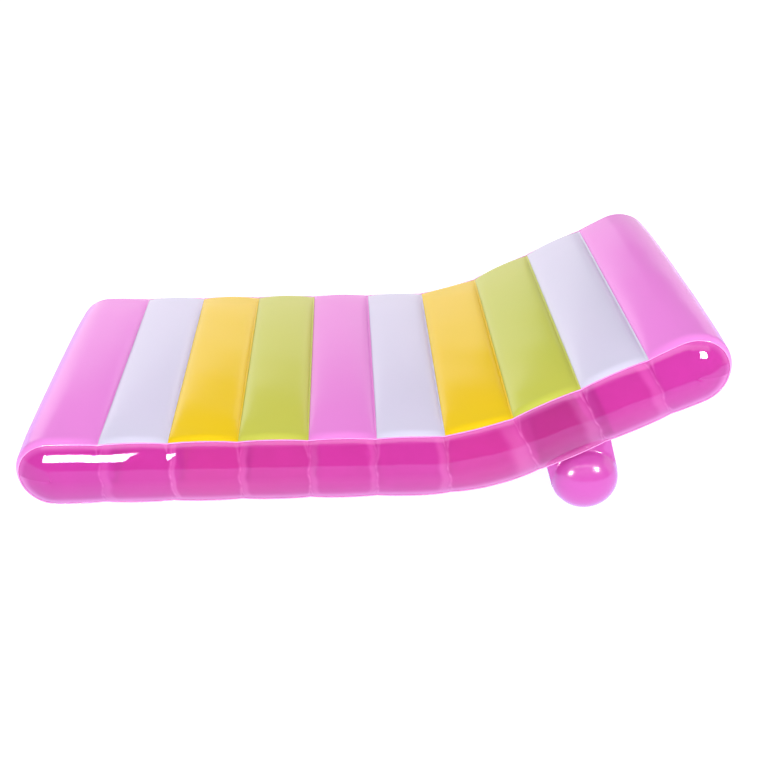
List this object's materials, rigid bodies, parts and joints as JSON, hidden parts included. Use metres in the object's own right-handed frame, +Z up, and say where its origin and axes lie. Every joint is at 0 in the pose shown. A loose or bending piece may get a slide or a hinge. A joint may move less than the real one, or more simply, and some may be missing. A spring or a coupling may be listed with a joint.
{
  "type": "inflatable pool float",
  "caption": "Striped lie-on pool float: a flat inflated mattress with a bent-up headrest, see-through side panels and a round bolster under the head.",
  "frame": {"origin": "middle of the float's outline, on the surface that it rests on", "axes": "+X from the foot end to the headrest, +Y to the side with the valves, +Z up"},
  "size_m": [1.7623, 0.924, 0.5066],
  "materials": {
    "film_pink": "satin",
    "film_white": "satin",
    "film_yellow": "satin",
    "film_green": "satin",
    "film_underside_pink": "gloss",
    "film_clear_pink": "clear gloss",
    "weld_pink": "gloss",
    "film_baffle": "satin",
    "film_bolster_pink": "gloss",
    "valve_soft_clear": "soft clear vinyl"
  },
  "bodies": {
    "float": {"baffle_1": "film_baffle", "baffle_2": "film_baffle", "baffle_3": "film_baffle", "baffle_4": "film_baffle", "baffle_5": "film_baffle", "baffle_6": "film_baffle", "baffle_7": "film_baffle", "baffle_8": "film_baffle", "baffle_9": "film_baffle", "body_valve_flange": "valve_soft_clear", "bolster_end_left": "film_bolster_pink", "bolster_end_right": "film_bolster_pink", "bolster_sleeve": "film_bolster_pink", "bolster_valve_flange": "valve_soft_clear", "bolster_web_front": "film_bolster_pink", "bolster_web_rear": "film_bolster_pink", "bottom_sheet_foot": "film_underside_pink", "bottom_sheet_head": "film_underside_pink", "foot_panel_pink": "film_pink", "head_panel_pink": "film_pink", "seam_weld_left": "weld_pink", "seam_weld_right": "weld_pink", "side_panel_left": "film_clear_pink", "side_panel_right": "film_clear_pink", "top_panel_green_1": "film_green", "top_panel_green_2": "film_green", "top_panel_pink_mid": "film_pink", "top_panel_white_1": "film_white", "top_panel_white_2": "film_white", "top_panel_white_3": "film_white", "top_panel_yellow_1": "film_yellow", "top_panel_yellow_2": "film_yellow"},
    "body_valve_mouth": {"body_valve_stem": "valve_soft_clear", "body_valve_strap": "valve_soft_clear"},
    "body_valve_plug": {"body_valve_cap": "valve_soft_clear"},
    "body_valve_check": {"body_valve_flap": "valve_soft_clear"},
    "bolster_valve_mouth": {"bolster_valve_stem": "valve_soft_clear", "bolster_valve_strap": "valve_soft_clear"},
    "bolster_valve_plug": {"bolster_valve_cap": "valve_soft_clear"},
    "bolster_valve_check": {"bolster_valve_flap": "valve_soft_clear"}
  },
  "joints": [
    {"name": "body_valve_pull", "type": "slide", "parent": "float", "child": "body_valve_mouth", "axis": [0, 1, 0], "range_m": [0, 0.014]},
    {"name": "body_valve_cap_fold", "type": "hinge", "parent": "body_valve_mouth", "child": "body_valve_plug", "pos_m": [0.6229, 0.462, 0.32243], "axis": [-0.4795, 0, 0.8775], "range_deg": [0, 165]},
    {"name": "body_valve_flap_lift", "type": "hinge", "parent": "body_valve_mouth", "child": "body_valve_check", "pos_m": [0.62939, 0.4397, 0.32598], "axis": [0.4795, 0, -0.8775], "range_deg": [0, 60], "stiffness_Nm_per_rad": 0.0002},
    {"name": "bolster_valve_pull", "type": "slide", "parent": "float", "child": "bolster_valve_mouth", "axis": [0, 1, 0], "range_m": [0, 0.014]},
    {"name": "bolster_valve_cap_fold", "type": "hinge", "parent": "bolster_valve_mouth", "child": "bolster_valve_plug", "pos_m": [0.55234, 0.462, 0.084], "axis": [0, 0, 1], "range_deg": [0, 165]},
    {"name": "bolster_valve_flap_lift", "type": "hinge", "parent": "bolster_valve_mouth", "child": "bolster_valve_check", "pos_m": [0.55973, 0.4397, 0.084], "axis": [0, 0, -1], "range_deg": [0, 60], "stiffness_Nm_per_rad": 0.0002}
  ]
}
